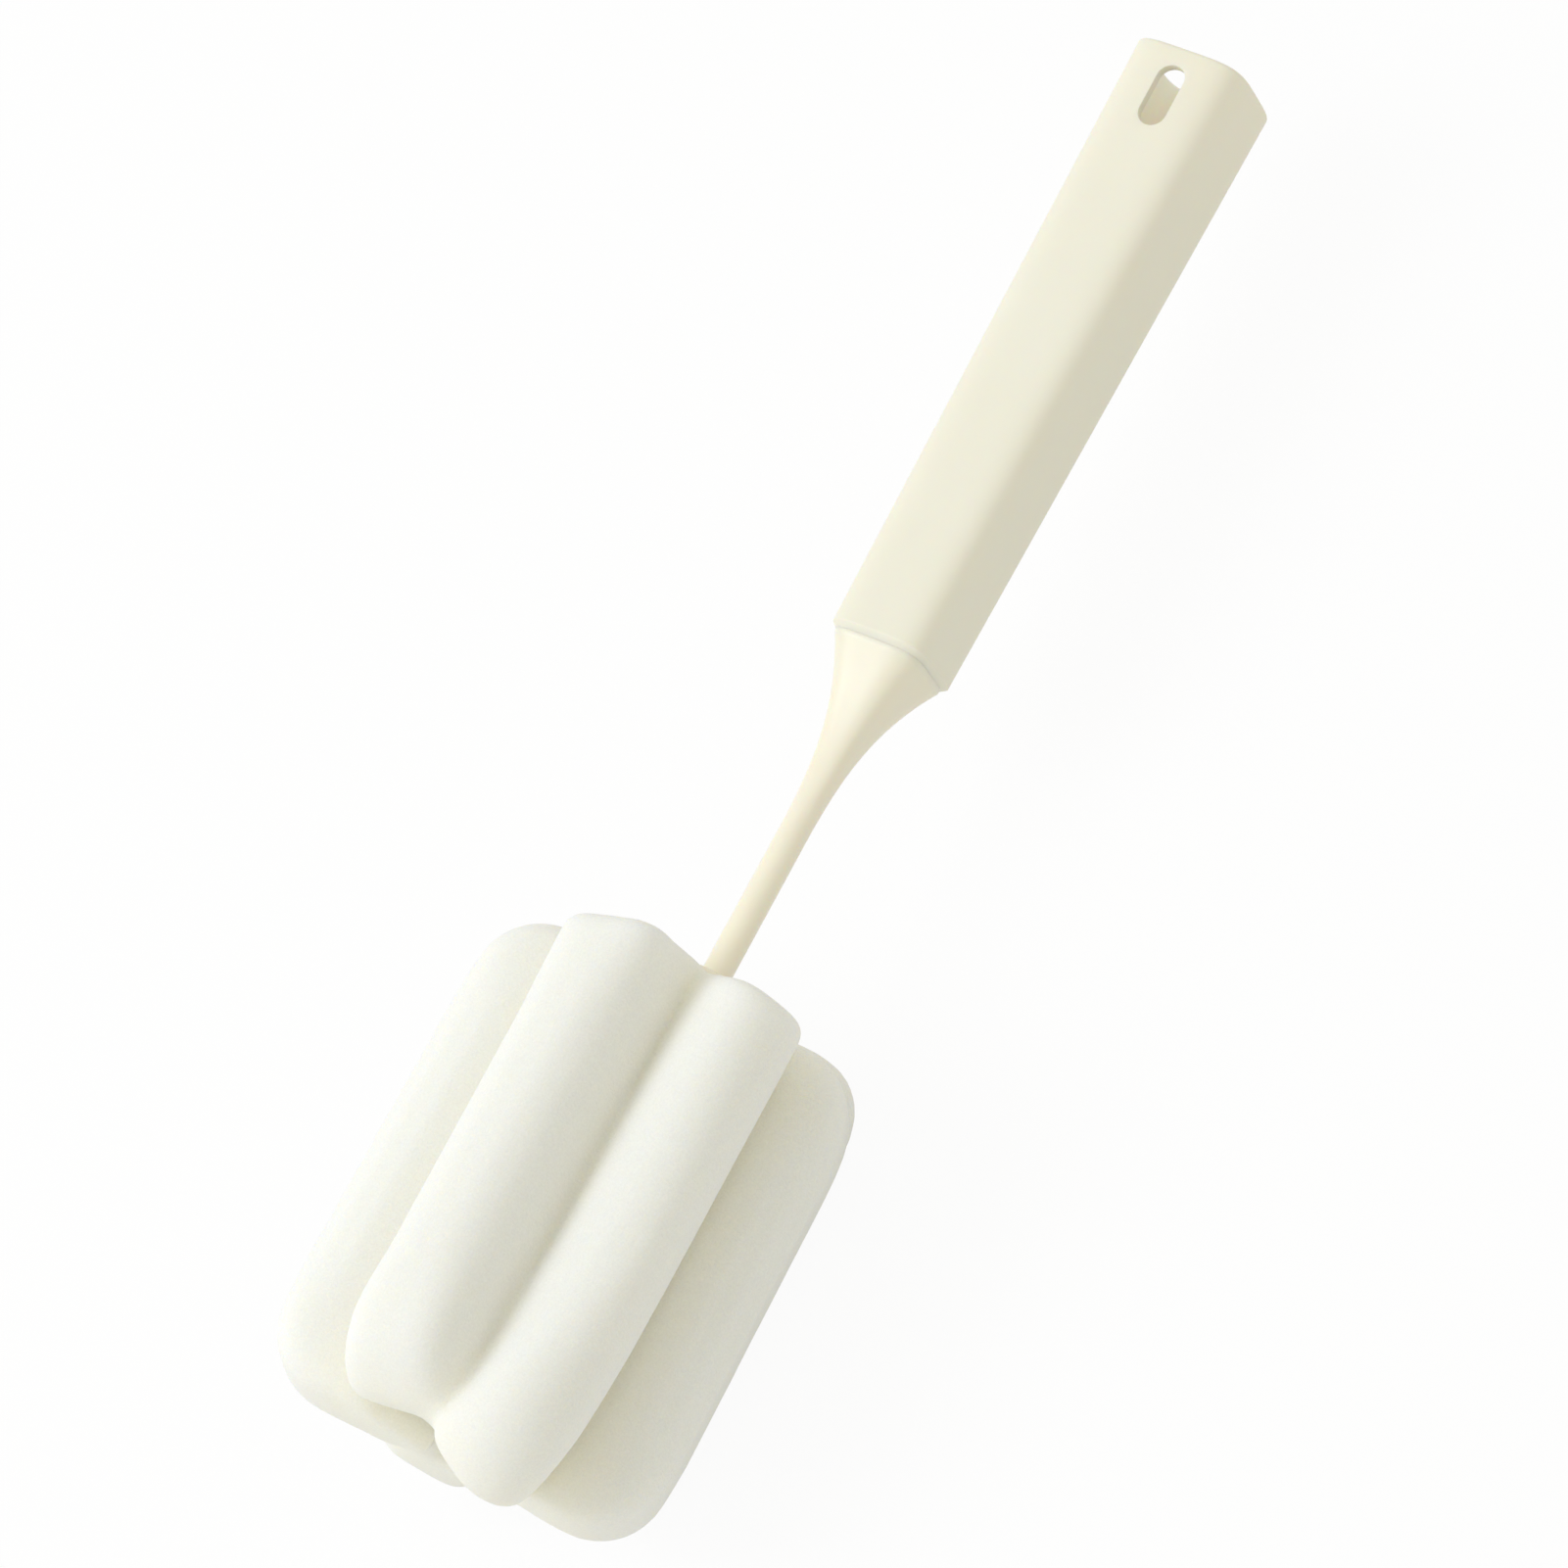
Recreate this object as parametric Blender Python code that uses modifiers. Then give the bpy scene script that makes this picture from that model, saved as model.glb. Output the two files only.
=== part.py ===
"""Sponge cup brush: a hollow square handle, a flared stem that ends in a fork, three foam sheets pinched
in the fork so that they fan out as six petals, and a cap that closes the fork.

The brush is drawn upright, with z running up the handle from the lower edge of the foam, and an empty
then lays it on its sponge, handle along +X. Lengths are in metres.
"""

import math

import bmesh
import bpy
from mathutils import Matrix, Vector

# Foam sheets, as cut and as pinched
SHEET_WIDTH = 0.0788
SHEET_HEIGHT = 0.1015
SHEET_THICKNESS = 0.022
SHEET_CORNER = 0.0135
SHEET_RIM = 0.0055
CUT_EDGE = 0.0014
CURL_RADIUS = 0.019
CURL_TURN = math.radians(78)
PINCHED_THICKNESS = 0.0026
PINCH_WIDTH = 0.0092
SHEET_GAP = 0.0004
PETAL_SLIT = 0.0005
SHEET_SHIFT = 0.00145

# Fork at the foot of the stem
TINE_WIDTH = 0.006
TINE_THICKNESS = 0.0035
TINE_EDGE = 0.0008
YOKE_HEIGHT = 0.0025
TINE_TO_FOAM_FOOT = 0.0067

# Cap over the two tines
CAP_WIDTH = 0.009
CAP_DEPTH = 0.0184
CAP_HEIGHT = 0.008
CAP_TO_FOAM_FOOT = 0.0045
CAP_EDGE = 0.0008

# Stem: rod, flare and plug
ROD_RADIUS = 0.00295
ROD_LENGTH = 0.0347
FLARE_LENGTH = 0.0363
FLARE_POWER = 2.5
NECK_INSET = 0.0011
PLUG_LENGTH = 0.022
PLUG_CHAMFER = 0.001

# Handle
SLEEVE_LENGTH = 0.1323
SLEEVE_HALF_AT_NECK = 0.01095
SLEEVE_HALF_AT_TOP = 0.01245
SLEEVE_WALL = 0.002
SLEEVE_EDGE = 0.0004
SECTION_POWER = 4.4
SLOT_WIDTH = 0.006
SLOT_LENGTH = 0.0133
SLOT_TO_TOP = 0.004

CLEARANCE = 0.0003
OVERRUN = 0.004
FLOOR_FLAT = 0.0005

# Turn of the fork against the broad face of the handle, and the petals' headings, from the front of the
# fork towards the right
CLAMP_TURN = math.radians(18)
HEADINGS = {
    "front_left": math.radians(-27),
    "front_right": math.radians(27.5),
    "right": math.radians(90),
    "rear_right": math.radians(125),
    "rear_left": math.radians(199),
    "left": math.radians(270),
}

# How far each sheet, and then each petal's end, sits above the mean, as shares of the sheet's height
SHEET_LIFT_SHARES = {"front": 0.010, "middle": -0.010, "rear": 0.0}
PETAL_LIFT_SHARES = {
    "front_left": -0.022,
    "front_right": -0.029,
    "right": -0.005,
    "rear_right": 0.040,
    "rear_left": 0.006,
    "left": 0.002,
}

# The front petals' ends tilt at the top and at the foot, right side up. The foot of the right one hangs lower,
# bows down along its middle and leans to the left. Some ends stand out more at the foot or less at the top
TOP_TILT_SHARES = {"front_left": 0.021, "front_right": -0.010}
FOOT_TILT_SHARES = {"front_left": 0.021, "front_right": -0.039}
FOOT_DROP_SHARES = {"front_left": -0.007, "front_right": 0.076, "left": 0.006}
FOOT_BOW_SHARES = {"front_right": 0.039}
FOOT_SWAY_SHARES = {"front_right": -0.045}
FOOT_REACH_SHARES = {"left": 0.024, "right": 0.018}
TOP_REACH_SHARES = {"right": -0.025, "rear_right": -0.030}

# The two front petals curl in at the foot, their underside rises towards the cap by this share of the
# height, and this is how round their ends are, as shares of the usual rim. The left half of the right one's
# thickness is squeezed by this share, less and less towards the foot
CURLED = ("front_left", "front_right")
FOOT_RISE_SHARE = 0.065
RIM_SHARES = {"front_right": 1.7}
SQUEEZE_SHARES = {"front_right": 0.18}

RING_SIDES = 40
FLARE_STEPS = 12
CORNER_STEPS = 6
RIM_STEPS = 4
CUT_STEPS = 2
CURL_STEPS = 5
SWAY_STEPS = 8
REACH_STEPS = 6
DROP_POWER = 3
SWAY_POWER = 3
SLOT_STEPS = 8
SHEETS = 3

# Places worked out from the sizes above
HALF_THICKNESS = SHEET_THICKNESS / 2
PETAL_REACH = SHEET_WIDTH / 2
CUT_REACH = 2 * SHEET_WIDTH
STACK_HALF = SHEETS * PINCHED_THICKNESS / 2
FORK_HALF_GAP = STACK_HALF + CLEARANCE
FORK_HALF_DEPTH = FORK_HALF_GAP + TINE_THICKNESS
YOKE_BASE = SHEET_HEIGHT * (1 + max(SHEET_LIFT_SHARES.values())) + CLEARANCE
YOKE_TOP = YOKE_BASE + YOKE_HEIGHT
FLARE_BASE = YOKE_TOP + ROD_LENGTH
FLARE_TOP = FLARE_BASE + FLARE_LENGTH
SLEEVE_BASE = FLARE_TOP + CLEARANCE
SLEEVE_TOP = SLEEVE_BASE + SLEEVE_LENGTH
CAP_TOP = CAP_TO_FOAM_FOOT + CAP_HEIGHT
CURL_RISE = CURL_RADIUS * math.sin(CURL_TURN)
BELOW_FOAM = -OVERRUN - SHEET_CORNER
ABOVE_FOAM = SHEET_HEIGHT + OVERRUN + SHEET_CORNER

# The two rear petals carry the brush when it lies down, each the same angle off straight down
REAR_SPREAD = math.pi - HEADINGS["rear_right"] - CLAMP_TURN
AXIS_HEIGHT = (
    (PETAL_REACH - SHEET_RIM) * math.cos(REAR_SPREAD)
    + (HALF_THICKNESS - SHEET_RIM) * math.sin(REAR_SPREAD)
    + SHEET_RIM
    - FLOOR_FLAT
)


def clear_scene():
    for obj in list(bpy.data.objects):
        bpy.data.objects.remove(obj, do_unlink=True)


def collection(name):
    made = bpy.data.collections.new(name)
    bpy.context.scene.collection.children.link(made)
    return made


def material(name, colour, roughness):
    made = bpy.data.materials.new(name)
    made.use_nodes = True
    shader = made.node_tree.nodes["Principled BSDF"]
    shader.inputs["Base Color"].default_value = (*colour, 1)
    shader.inputs["Roughness"].default_value = roughness
    shader.inputs["Metallic"].default_value = 0
    return made


def mesh_object(name, bm, home, parent):
    """The bmesh as an object in the collection home, hung on parent."""
    bmesh.ops.recalc_face_normals(bm, faces=bm.faces)
    mesh = bpy.data.meshes.new(name)
    bm.to_mesh(mesh)
    bm.free()
    made = bpy.data.objects.new(name, mesh)
    home.objects.link(made)
    made.parent = parent
    return made


def finish(obj, coat, sharp_from=math.radians(35)):
    obj.data.materials.append(coat)
    obj.data.shade_smooth()
    obj.data.set_sharp_from_angle(angle=sharp_from)


def as_cutter(obj):
    obj.hide_render = True
    obj.display_type = "WIRE"
    return obj


def boolean(obj, operation, other):
    step = obj.modifiers.new(f"{operation.lower()}_{other.name}", "BOOLEAN")
    step.operation = operation
    step.solver = "EXACT"
    step.object = other


def box_mesh(low, high, edge=0.0):
    """A box between two corners, its edges rounded by the length edge."""
    bm = bmesh.new()
    size = Vector(high) - Vector(low)
    centre = (Vector(high) + Vector(low)) / 2
    bmesh.ops.create_cube(bm, size=1, matrix=Matrix.Translation(centre) @ Matrix.Diagonal((*size, 1)))
    if edge:
        bmesh.ops.bevel(bm, geom=bm.edges[:], offset=edge, segments=2, profile=0.5, affect="EDGES")
    return bm


def flat_shape(name, outline, low, high, home, parent):
    """An outline in x and y, filled and given height from low to high."""
    curve = bpy.data.curves.new(name, "CURVE")
    curve.dimensions = "2D"
    curve.fill_mode = "BOTH"
    curve.extrude = (high - low) / 2
    spline = curve.splines.new("POLY")
    spline.points.add(len(outline) - 1)
    for point, (x, y) in zip(spline.points, outline):
        point.co = (x, y, 0, 1)
    spline.use_cyclic_u = True
    guide = bpy.data.objects.new(f"{name}_outline", curve)
    bpy.context.scene.collection.objects.link(guide)
    bpy.context.view_layer.update()
    drawn = guide.evaluated_get(bpy.context.evaluated_depsgraph_get())
    bm = bmesh.new()
    solid = bpy.data.meshes.new_from_object(drawn)
    bm.from_mesh(solid)
    bmesh.ops.remove_doubles(bm, verts=bm.verts, dist=CLEARANCE / 100)
    bmesh.ops.translate(bm, verts=bm.verts, vec=(0, 0, (low + high) / 2))
    bpy.data.objects.remove(guide)
    return mesh_object(name, bm, home, parent)


def rounded_square(angle, half, power):
    """A point of a square with rounded corners; power 2 makes it a circle of radius half."""
    across = math.cos(angle)
    along = math.sin(angle)
    radius = half / (abs(across) ** power + abs(along) ** power) ** (1 / power)
    return radius * across, radius * along


def lofted(stations, closed):
    """Rings drawn at each (height, half, power) and joined in order, with both ends filled if closed."""
    bm = bmesh.new()
    ring = bmesh.ops.create_circle(bm, segments=RING_SIDES, radius=1)["verts"]
    turns = [math.atan2(vert.co.y, vert.co.x) for vert in ring]
    edges = bm.edges[:]
    for step, (height, half, power) in enumerate(stations):
        if step:
            grown = bmesh.ops.extrude_edge_only(bm, edges=edges)["geom"]
            fresh = [item for item in grown if isinstance(item, bmesh.types.BMVert)]
            edges = [
                item
                for item in grown
                if isinstance(item, bmesh.types.BMEdge) and all(vert in fresh for vert in item.verts)
            ]
            turns = [math.atan2(vert.co.y, vert.co.x) for vert in fresh]
            ring = fresh
        for vert, turn in zip(ring, turns):
            vert.co = (*rounded_square(turn, half, power), height)
    if closed:
        bmesh.ops.holes_fill(bm, edges=bm.edges, sides=RING_SIDES)
    return bm


def direction(heading):
    """The unit vector of a heading: 0 is the front, which is -y, and it turns towards +x."""
    return Vector((math.sin(heading), -math.cos(heading)))


def make_handle_sleeve(home, cutters, parent, coat):
    """The hollow grip: a tapering rounded square, open at both ends, with the hanging slot through it."""
    sleeve = mesh_object(
        "handle_sleeve",
        lofted(
            [
                (SLEEVE_BASE, SLEEVE_HALF_AT_NECK, SECTION_POWER),
                (SLEEVE_TOP, SLEEVE_HALF_AT_TOP, SECTION_POWER),
            ],
            closed=False,
        ),
        home,
        parent,
    )
    wall = sleeve.modifiers.new("wall", "SOLIDIFY")
    wall.thickness = SLEEVE_WALL
    wall.offset = -1
    wall.use_even_offset = True
    rim = sleeve.modifiers.new("rim", "BEVEL")
    rim.width = SLEEVE_EDGE
    rim.segments = 2
    rim.limit_method = "ANGLE"
    rim.angle_limit = math.radians(60)
    slot_radius = SLOT_WIDTH / 2
    top = SLEEVE_TOP - SLOT_TO_TOP - slot_radius
    foot = SLEEVE_TOP - SLOT_TO_TOP - SLOT_LENGTH + slot_radius
    outline = []
    for step in range(SLOT_STEPS + 1):
        turn = math.pi * step / SLOT_STEPS
        outline.append((slot_radius * math.cos(turn), top + slot_radius * math.sin(turn)))
    for step in range(SLOT_STEPS + 1):
        turn = math.pi + math.pi * step / SLOT_STEPS
        outline.append((slot_radius * math.cos(turn), foot + slot_radius * math.sin(turn)))
    through = SLEEVE_HALF_AT_TOP + OVERRUN
    slot = as_cutter(flat_shape("hang_slot", outline, -through, through, cutters, parent))
    slot.rotation_euler = (math.pi / 2, 0, 0)
    boolean(sleeve, "DIFFERENCE", slot)
    finish(sleeve, coat)


def make_neck_stem(home, cutters, parent, coat):
    """One moulding: the plug inside the grip, the flare, the rod and the fork with its two tines."""
    plug_half = SLEEVE_HALF_AT_NECK - SLEEVE_WALL - CLEARANCE
    neck_half = SLEEVE_HALF_AT_NECK - NECK_INSET
    plug_top = FLARE_TOP + PLUG_LENGTH
    stations = [
        (plug_top, plug_half - PLUG_CHAMFER, SECTION_POWER),
        (plug_top - PLUG_CHAMFER, plug_half, SECTION_POWER),
        (FLARE_TOP, plug_half, SECTION_POWER),
    ]
    for step in range(FLARE_STEPS + 1):
        rise = 1 - step / FLARE_STEPS
        swell = (neck_half - ROD_RADIUS) * rise**FLARE_POWER
        power = 2 + (SECTION_POWER - 2) * rise
        stations.append((FLARE_BASE + FLARE_LENGTH * rise, ROD_RADIUS + swell, power))
    stations.append((YOKE_BASE + YOKE_HEIGHT / 2, ROD_RADIUS, 2))
    stem = mesh_object("neck_stem", lofted(stations, closed=True), home, parent)

    half_width = TINE_WIDTH / 2
    fork = mesh_object(
        "fork_block",
        box_mesh(
            (-half_width, -FORK_HALF_DEPTH, TINE_TO_FOAM_FOOT),
            (half_width, FORK_HALF_DEPTH, YOKE_TOP),
            TINE_EDGE,
        ),
        cutters,
        parent,
    )
    fork.rotation_euler.z = CLAMP_TURN
    gap = mesh_object(
        "fork_gap",
        box_mesh(
            (-half_width - OVERRUN, -FORK_HALF_GAP, TINE_TO_FOAM_FOOT - OVERRUN),
            (half_width + OVERRUN, FORK_HALF_GAP, YOKE_BASE),
        ),
        cutters,
        parent,
    )
    gap.rotation_euler.z = CLAMP_TURN
    boolean(stem, "UNION", as_cutter(fork))
    boolean(stem, "DIFFERENCE", as_cutter(gap))
    finish(stem, coat)


def make_tip_cap(home, cutters, parent, coat):
    """The cap that holds the two tines together under the foam; it pulls straight off them."""
    cap = mesh_object(
        "tip_cap",
        box_mesh(
            (-CAP_WIDTH / 2, -CAP_DEPTH / 2, CAP_TO_FOAM_FOOT),
            (CAP_WIDTH / 2, CAP_DEPTH / 2, CAP_TOP),
            CAP_EDGE,
        ),
        home,
        parent,
    )
    socket_floor = TINE_TO_FOAM_FOOT - CLEARANCE
    for side, name in ((-1, "front_socket"), (1, "rear_socket")):
        inner = side * (FORK_HALF_GAP - CLEARANCE)
        outer = side * (FORK_HALF_DEPTH + CLEARANCE)
        socket = mesh_object(
            name,
            box_mesh(
                (-TINE_WIDTH / 2 - CLEARANCE, min(inner, outer), socket_floor),
                (TINE_WIDTH / 2 + CLEARANCE, max(inner, outer), CAP_TOP + OVERRUN),
            ),
            cutters,
            parent,
        )
        boolean(cap, "DIFFERENCE", as_cutter(socket))
    finish(cap, coat)


def on_level(edge, level):
    return all(abs(vert.co.z - level) < CLEARANCE for vert in edge.verts)


def at_end(edge, reach):
    return all(abs(vert.co.y + reach) < CLEARANCE for vert in edge.verts)


def bevelled(bm, edges, offset, segments):
    bmesh.ops.bevel(bm, geom=edges, offset=offset, segments=segments, profile=0.5, affect="EDGES")


def divided(bm, places, across):
    """Cuts the mesh by a plane at each place, so that it can bend there."""
    for place in places:
        geom = bm.verts[:] + bm.edges[:] + bm.faces[:]
        bmesh.ops.bisect_plane(bm, geom=geom, plane_co=place, plane_no=across)


def drawn_in(height):
    """How far the foot of a curled petal's end is drawn in at a height."""
    below = max(0, CURL_RISE - height)
    return CURL_RADIUS - math.sqrt(CURL_RADIUS**2 - below**2)


def sway(petal, out, low):
    """How far a petal leans to its right at a share of its reach and of the way down to its foot."""
    return SHEET_HEIGHT * FOOT_SWAY_SHARES.get(petal, 0) * out * low**SWAY_POWER


def slab_mesh(petal, other=None):
    """A die-cut sheet that points to the front: the half that ends in a petal, or all of it with the other.

    Its ends lift, tilt, hang and lean by the shares in the tables.
    """
    curled = petal in CURLED
    ends = [PETAL_REACH, -PETAL_REACH] if other else [PETAL_REACH]
    inner = -PETAL_REACH if other else -FORK_HALF_GAP
    centre = Vector((0, -(PETAL_REACH + inner) / 2, SHEET_HEIGHT / 2))
    size = (SHEET_THICKNESS, PETAL_REACH - inner, SHEET_HEIGHT)
    bm = bmesh.new()
    bmesh.ops.create_cube(bm, size=1, matrix=Matrix.Translation(centre) @ Matrix.Diagonal((*size, 1)))
    cut_edges = [edge for edge in bm.edges if on_level(edge, 0) or on_level(edge, SHEET_HEIGHT)]
    if not curled:
        corners = [edge for edge in cut_edges if any(at_end(edge, end) for end in ends)]
        bevelled(bm, corners, SHEET_CORNER, CORNER_STEPS)
    rims = [
        edge
        for edge in bm.edges
        if abs(sum(vert.co.x for vert in edge.verts)) > SHEET_THICKNESS - CLEARANCE
        and not (curled and edge in cut_edges)
    ]
    bevelled(bm, rims, SHEET_RIM * RIM_SHARES.get(petal, 1), RIM_STEPS)
    if curled:
        for level in (0, SHEET_HEIGHT):
            bevelled(bm, [edge for edge in bm.edges if on_level(edge, level)], CUT_EDGE, CUT_STEPS)
        turns = [CURL_TURN * step / CURL_STEPS for step in range(CURL_STEPS)]
        heights = [CURL_RISE - CURL_RADIUS * math.sin(turn) for turn in turns]
        heights += [SHEET_HEIGHT / 2 * step / SWAY_STEPS for step in range(1, SWAY_STEPS)]
        divided(bm, [(0, 0, height) for height in heights], (0, 0, 1))
    steps = range(1 - REACH_STEPS if other else 0, REACH_STEPS)
    divided(bm, [(0, -PETAL_REACH * step / REACH_STEPS, 0) for step in steps], (0, 1, 0))
    for vert in bm.verts:
        end = petal if vert.co.y < 0 else other
        low = max(0, 1 - 2 * vert.co.z / SHEET_HEIGHT)
        high = max(0, 2 * vert.co.z / SHEET_HEIGHT - 1)
        across = vert.co.x / HALF_THICKNESS
        vert.co.y *= 1 + FOOT_REACH_SHARES.get(end, 0) * low + TOP_REACH_SHARES.get(end, 0) * high
        if curled:
            vert.co.y *= 1 - drawn_in(vert.co.z) / PETAL_REACH
        out = min(1, abs(vert.co.y) / PETAL_REACH)
        inside = max(0, 1 - vert.co.y / (drawn_in(0) - PETAL_REACH)) if curled else 0
        soon = low * (1 - (1 - out) ** DROP_POWER)
        tilt = FOOT_TILT_SHARES.get(end, 0) * low + TOP_TILT_SHARES.get(end, 0) * high
        rise = out * (PETAL_LIFT_SHARES.get(end, 0) + tilt * across) + FOOT_RISE_SHARE * low * min(1, inside)
        hang = soon * (FOOT_DROP_SHARES.get(end, 0) - FOOT_BOW_SHARES.get(end, 0) * across**2)
        vert.co.z += SHEET_HEIGHT * (rise - hang)
        if vert.co.x < 0:
            vert.co.x *= 1 - SQUEEZE_SHARES.get(end, 0) * (1 - low)
        vert.co.x += sway(end, out, low)
    bmesh.ops.triangulate(bm, faces=bm.faces)
    return bm


def turned(bm, heading):
    bmesh.ops.rotate(bm, verts=bm.verts, matrix=Matrix.Rotation(heading, 3, "Z"))
    return bm


def between(first, second):
    """The heading half way from one petal to the next."""
    return (HEADINGS[first] + HEADINGS[second]) / 2


def wedge(name, fans, cutters, parent):
    """The room that the neighbours leave a sheet: corners of its pinch, each with the heading it opens to."""
    outline = []
    for x, y, heading, first in fans:
        corner = Vector((x, y))
        far = corner + CUT_REACH * direction(heading)
        outline += [corner, far] if first else [far, corner]
    return as_cutter(flat_shape(name, outline, BELOW_FOAM, ABOVE_FOAM, cutters, parent))


def slit(name, petals, tine_side, cutters, parent):
    """The closed cleft between the two petals of one sheet, from its tine out to where they part.

    It leans with the second petal.
    """
    first, second = (HEADINGS[petal] for petal in petals)
    squeezed = 1 - SQUEEZE_SHARES.get(petals[1], 0)
    turn = math.atan2(math.sin(second - first), squeezed + math.cos(second - first))
    parting = HALF_THICKNESS / math.sin(turn) * direction(first + turn)
    start = Vector((0, tine_side * FORK_HALF_DEPTH))
    along = (parting - start).normalized()
    place = Matrix.Translation((*start, 0)) @ Matrix.Rotation(math.atan2(along.x, -along.y), 4, "Z")
    bm = box_mesh((-PETAL_SLIT / 2, -CUT_REACH, BELOW_FOAM), (PETAL_SLIT / 2, 0, ABOVE_FOAM))
    if petals[1] in FOOT_SWAY_SHARES:
        divided(bm, [(0, 0, SHEET_HEIGHT / 2 * step / SWAY_STEPS) for step in range(SWAY_STEPS + 1)], (0, 0, 1))
        divided(bm, [(0, -PETAL_REACH * step / REACH_STEPS, 0) for step in range(1, REACH_STEPS)], (0, 1, 0))
    bmesh.ops.transform(bm, matrix=place, verts=bm.verts)
    ahead = direction(second)
    aside = direction(second + math.pi / 2)
    for vert in bm.verts:
        out = min(1, max(0, vert.co.xy.dot(ahead) / PETAL_REACH))
        low = min(1, max(0, 1 - 2 * vert.co.z / SHEET_HEIGHT))
        vert.co.xy += aside * sway(petals[1], out, low)
    bmesh.ops.triangulate(bm, faces=bm.faces)
    return as_cutter(mesh_object(name, bm, cutters, parent))


def make_foam(home, cutters, lay, clamp, coat):
    """The three sheets, each cut to its room, notched for the cap and channelled for its tine."""
    edge = PINCH_WIDTH / 2
    near = (PINCHED_THICKNESS - SHEET_GAP) / 2
    past = (PINCHED_THICKNESS + SHEET_GAP) / 2
    front_right = between("front_right", "right")
    rear_right = between("right", "rear_right")
    rear_left = between("rear_left", "left")
    front_left = (HEADINGS["left"] + HEADINGS["front_left"] + 2 * math.pi) / 2
    rooms = {
        "front": [(edge, -past, front_right, True), (-edge, -past, front_left, False)],
        "middle": [
            (edge, near, rear_right, True),
            (edge, -near, front_right, False),
            (-edge, -near, front_left, True),
            (-edge, near, rear_left, False),
        ],
        "rear": [(-edge, past, rear_left, True), (edge, past, rear_right, False)],
    }
    petals = {
        "front": ("front_left", "front_right"),
        "middle": ("left", "right"),
        "rear": ("rear_right", "rear_left"),
    }
    notch = as_cutter(
        mesh_object(
            "cap_notch",
            box_mesh(
                (-CAP_WIDTH / 2 - CLEARANCE, -CAP_DEPTH / 2 - CLEARANCE, BELOW_FOAM),
                (CAP_WIDTH / 2 + CLEARANCE, CAP_DEPTH / 2 + CLEARANCE, CAP_TOP + CLEARANCE),
            ),
            cutters,
            clamp,
        )
    )
    floor = as_cutter(
        mesh_object(
            "floor_under_foam",
            box_mesh(
                (-CUT_REACH, AXIS_HEIGHT, BELOW_FOAM),
                (CUT_REACH, AXIS_HEIGHT + OVERRUN, ABOVE_FOAM),
            ),
            cutters,
            lay,
        )
    )
    for name, pair in petals.items():
        level = SHEET_LIFT_SHARES[name] * SHEET_HEIGHT
        halves = []
        if name == "middle":
            whole = turned(slab_mesh(pair[1], pair[0]), HEADINGS[pair[1]])
            halves.append(mesh_object(f"foam_{name}", whole, home, clamp))
            halves[0].location.x = -SHEET_SHIFT
        else:
            for petal, place, title in zip(pair, (home, cutters), (f"foam_{name}", f"{pair[1]}_half")):
                half = turned(slab_mesh(petal), HEADINGS[petal])
                halves.append(mesh_object(title, half, place, clamp))
            boolean(halves[0], "UNION", as_cutter(halves[1]))
        for half in halves:
            half.location.z = level
        sheet = halves[0]
        boolean(sheet, "INTERSECT", wedge(f"{name}_room", rooms[name], cutters, clamp))
        boolean(sheet, "DIFFERENCE", notch)
        if name != "middle":
            side = -1 if name == "front" else 1
            inner = side * STACK_HALF
            outer = side * (FORK_HALF_DEPTH + CLEARANCE)
            channel = mesh_object(
                f"{name}_channel",
                box_mesh(
                    (-TINE_WIDTH / 2 - CLEARANCE, min(inner, outer), BELOW_FOAM),
                    (TINE_WIDTH / 2 + CLEARANCE, max(inner, outer), YOKE_TOP + OVERRUN),
                ),
                cutters,
                clamp,
            )
            boolean(sheet, "DIFFERENCE", as_cutter(channel))
            boolean(sheet, "DIFFERENCE", slit(f"{name}_slit", pair, side, cutters, clamp))
        if name == "rear":
            boolean(sheet, "DIFFERENCE", floor)
        finish(sheet, coat)


def centre_over_origin(lay, home):
    """Slides the laid-down brush along the floor until its box stands centred on the origin."""
    bpy.context.view_layer.update()
    graph = bpy.context.evaluated_depsgraph_get()
    places = []
    for obj in home.objects:
        if obj.type == "MESH":
            drawn = obj.evaluated_get(graph)
            places += [drawn.matrix_world @ vert.co for vert in drawn.data.vertices]
    for axis in (0, 1):
        along = [place[axis] for place in places]
        lay.location[axis] -= (min(along) + max(along)) / 2


def main():
    clear_scene()
    brush = collection("sponge_cup_brush")
    cutters = collection("cutters")
    grip_plastic = material("cream_matt_plastic", (0.89, 0.86, 0.74), 0.5)
    stem_plastic = material("cream_smooth_plastic", (0.93, 0.91, 0.80), 0.35)
    foam = material("white_foam", (0.92, 0.93, 0.90), 0.95)

    lay = bpy.data.objects.new("lay_on_sponge", None)
    brush.objects.link(lay)
    to_row = Matrix(((0, 0, 1), (-1, 0, 0), (0, -1, 0))).to_4x4()
    lay.matrix_world = Matrix.Translation((0, 0, AXIS_HEIGHT)) @ to_row
    clamp = bpy.data.objects.new("clamp_turn", None)
    brush.objects.link(clamp)
    clamp.parent = lay
    clamp.rotation_euler.z = CLAMP_TURN

    make_handle_sleeve(brush, cutters, lay, grip_plastic)
    make_neck_stem(brush, cutters, lay, stem_plastic)
    make_tip_cap(brush, cutters, clamp, stem_plastic)
    make_foam(brush, cutters, lay, clamp, foam)
    centre_over_origin(lay, brush)


main()
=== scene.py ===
import math

import bmesh
import bpy
from mathutils import Matrix, Vector
from mathutils.bvhtree import BVHTree


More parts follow.
